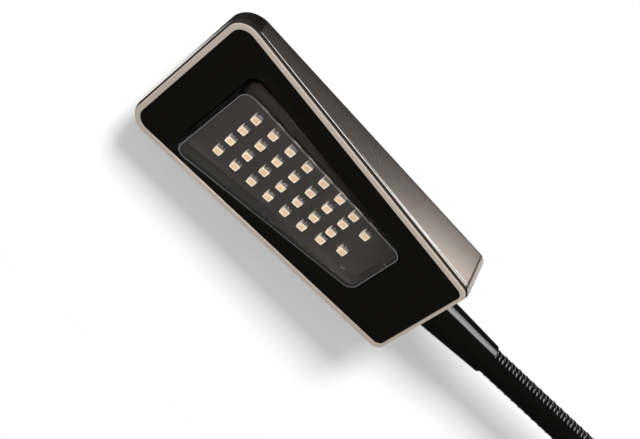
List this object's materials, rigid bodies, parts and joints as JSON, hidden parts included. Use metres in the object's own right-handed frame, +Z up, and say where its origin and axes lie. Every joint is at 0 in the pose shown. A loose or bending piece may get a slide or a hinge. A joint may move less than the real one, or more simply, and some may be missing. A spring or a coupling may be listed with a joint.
{
  "type": "flexible reading light",
  "caption": "Wall-mounted reading light: a flat wedge-shaped LED head on a black gooseneck that bends both ways, over a slim box with a push button.",
  "frame": {"origin": "middle of the wall plate's hole pattern, on its wall face", "axes": "+Y into the wall, so the light stands out towards -Y; +Z up along the straight neck to the head's free end; +X to the side"},
  "size_m": [0.0698, 0.0297, 0.533],
  "materials": {
    "satin_nickel": "satin nickel plating",
    "champagne_rim": "satin champagne anodising",
    "gloss_black": "high gloss black",
    "clear_lens": "clear polished acrylic",
    "zinc_steel": "zinc plated",
    "board_dark": "dark grey solder mask",
    "led_cream": "cream moulded body",
    "led_phosphor": "peach phosphor gel",
    "tinned_copper": "tinned",
    "pad_grey": "soft grey silicone",
    "bare_aluminium": "milled",
    "black_lacquer": "gloss black lacquer",
    "brass": "turned",
    "lead_sheath": "black sheath",
    "wire_insulation": "coloured insulation",
    "black_rubber": "matte",
    "board_green": "green solder mask",
    "component_black": "moulded",
    "terminal_green": "moulded",
    "nickel_ring": "satin nickel",
    "button_black": "gloss black"
  },
  "bodies": {
    "base": {"base_collar": "black_lacquer", "base_ferrule": "brass", "base_washer": "zinc_steel", "base_nut": "zinc_steel", "base_cover": "satin_nickel", "base_panel": "gloss_black", "base_plate": "zinc_steel", "cover_screws": "zinc_steel", "cable_grommet": "black_rubber", "driver_board": "board_green", "driver_parts": "component_black", "driver_screws": "zinc_steel", "terminal_block": "terminal_green", "base_wires": "wire_insulation", "switch_bush": "nickel_ring", "switch_nut": "zinc_steel", "switch_body": "component_black", "switch_spring": "zinc_steel", "neck_coil_1": "black_lacquer", "neck_lead_1": "lead_sheath"},
    "neck_1": {"neck_coil_2": "black_lacquer", "neck_lead_2": "lead_sheath"},
    "neck_2": {"neck_coil_3": "black_lacquer", "neck_lead_3": "lead_sheath"},
    "neck_3": {"neck_coil_4": "black_lacquer", "neck_lead_4": "lead_sheath"},
    "neck_4": {"neck_coil_5": "black_lacquer", "neck_lead_5": "lead_sheath"},
    "neck_5": {"neck_coil_6": "black_lacquer", "neck_lead_6": "lead_sheath"},
    "neck_6": {"neck_coil_7": "black_lacquer", "neck_lead_7": "lead_sheath"},
    "neck_7": {"neck_coil_8": "black_lacquer", "neck_lead_8": "lead_sheath"},
    "neck_8": {"neck_coil_9": "black_lacquer", "neck_lead_9": "lead_sheath"},
    "neck_9": {"neck_coil_10": "black_lacquer", "neck_lead_10": "lead_sheath"},
    "head": {"head_housing": "satin_nickel", "front_bezel": "champagne_rim", "front_panel": "gloss_black", "lens_cover": "clear_lens", "lens_screws": "zinc_steel", "led_board": "board_dark", "led_packages": "led_cream", "led_windows": "led_phosphor", "led_leads": "tinned_copper", "thermal_pad": "pad_grey", "heat_spreader": "bare_aluminium", "housing_screws": "zinc_steel", "head_collar": "black_lacquer", "head_ferrule": "brass", "head_washer": "zinc_steel", "head_nut": "zinc_steel", "head_wires": "wire_insulation", "neck_coil_11": "black_lacquer", "neck_lead_11": "lead_sheath"},
    "button": {"switch_button": "button_black"}
  },
  "joints": [
    {"name": "neck_bend_1", "type": "hinge", "parent": "base", "child": "neck_1", "pos_m": [0, -0.013, 0.0865], "axis": [1, 0, 0], "range_deg": [-25, 25], "deforming": ["neck_coil_1"]},
    {"name": "neck_bend_2", "type": "hinge", "parent": "neck_1", "child": "neck_2", "pos_m": [0, -0.013, 0.1135], "axis": [0, 1, 0], "range_deg": [-25, 25], "deforming": ["neck_coil_2"]},
    {"name": "neck_bend_3", "type": "hinge", "parent": "neck_2", "child": "neck_3", "pos_m": [0, -0.013, 0.1405], "axis": [1, 0, 0], "range_deg": [-25, 25], "deforming": ["neck_coil_3"]},
    {"name": "neck_bend_4", "type": "hinge", "parent": "neck_3", "child": "neck_4", "pos_m": [0, -0.013, 0.1675], "axis": [0, 1, 0], "range_deg": [-25, 25], "deforming": ["neck_coil_4"]},
    {"name": "neck_bend_5", "type": "hinge", "parent": "neck_4", "child": "neck_5", "pos_m": [0, -0.013, 0.1945], "axis": [1, 0, 0], "range_deg": [-25, 25], "deforming": ["neck_coil_5"]},
    {"name": "neck_bend_6", "type": "hinge", "parent": "neck_5", "child": "neck_6", "pos_m": [0, -0.013, 0.2215], "axis": [0, 1, 0], "range_deg": [-25, 25], "deforming": ["neck_coil_6"]},
    {"name": "neck_bend_7", "type": "hinge", "parent": "neck_6", "child": "neck_7", "pos_m": [0, -0.013, 0.2485], "axis": [1, 0, 0], "range_deg": [-25, 25], "deforming": ["neck_coil_7"]},
    {"name": "neck_bend_8", "type": "hinge", "parent": "neck_7", "child": "neck_8", "pos_m": [0, -0.013, 0.2755], "axis": [0, 1, 0], "range_deg": [-25, 25], "deforming": ["neck_coil_8"]},
    {"name": "neck_bend_9", "type": "hinge", "parent": "neck_8", "child": "neck_9", "pos_m": [0, -0.013, 0.3025], "axis": [1, 0, 0], "range_deg": [-25, 25], "deforming": ["neck_coil_9"]},
    {"name": "neck_bend_10", "type": "hinge", "parent": "neck_9", "child": "head", "pos_m": [0, -0.013, 0.3295], "axis": [0, 1, 0], "range_deg": [-25, 25], "deforming": ["neck_coil_10", "neck_coil_11"]},
    {"name": "button_press", "type": "slide", "parent": "base", "child": "button", "axis": [0, 1, 0], "range_m": [0, 0.0016], "stiffness_N_per_m": 900, "springref_m": -0.0012, "deforming": ["switch_spring"]}
  ]
}
